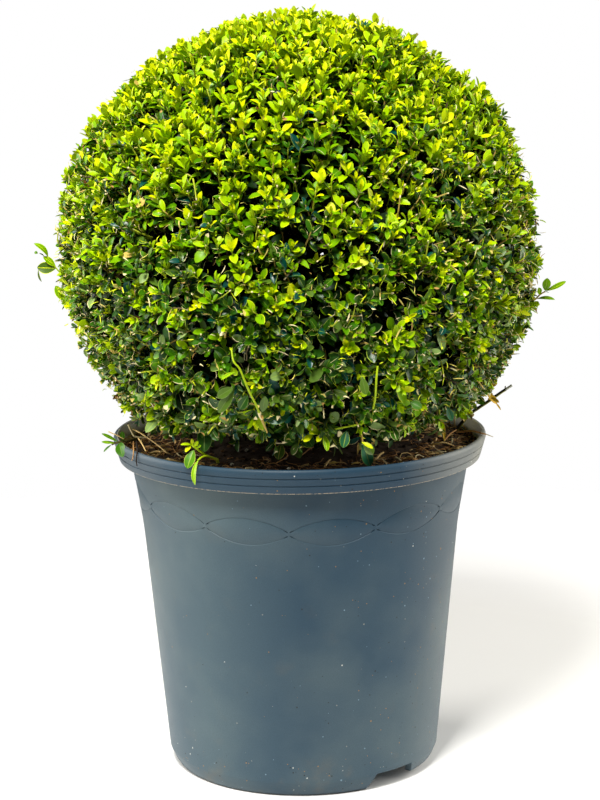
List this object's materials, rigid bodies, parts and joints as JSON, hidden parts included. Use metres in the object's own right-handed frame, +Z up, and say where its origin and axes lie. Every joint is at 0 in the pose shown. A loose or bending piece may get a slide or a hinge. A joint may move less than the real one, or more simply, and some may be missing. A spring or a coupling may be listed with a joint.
{
  "type": "box topiary ball",
  "caption": "Evergreen shrub clipped into a dense ball of small leaves on a short hidden stem, growing in a round tapered plastic nursery pot filled with potting mix.",
  "frame": {"origin": "on the ground, at the centre of the pot's flat underside", "axes": "+Z up along the pot's axis; the pictured side faces -Y, with +X to its right"},
  "size_m": [0.461, 0.42, 0.6731],
  "materials": {
    "pot_plastic": "satin",
    "potting_mix": "matte",
    "bark": "matte",
    "leaves": "satin"
  },
  "bodies": {
    "root": {"pot": "pot_plastic", "potting_soil": "potting_mix", "main_stem": "bark", "foliage_ball": "leaves", "low_shoot_left": "leaves", "low_shoot_front": "leaves", "cut_stub_right": "bark"}
  },
  "joints": []
}
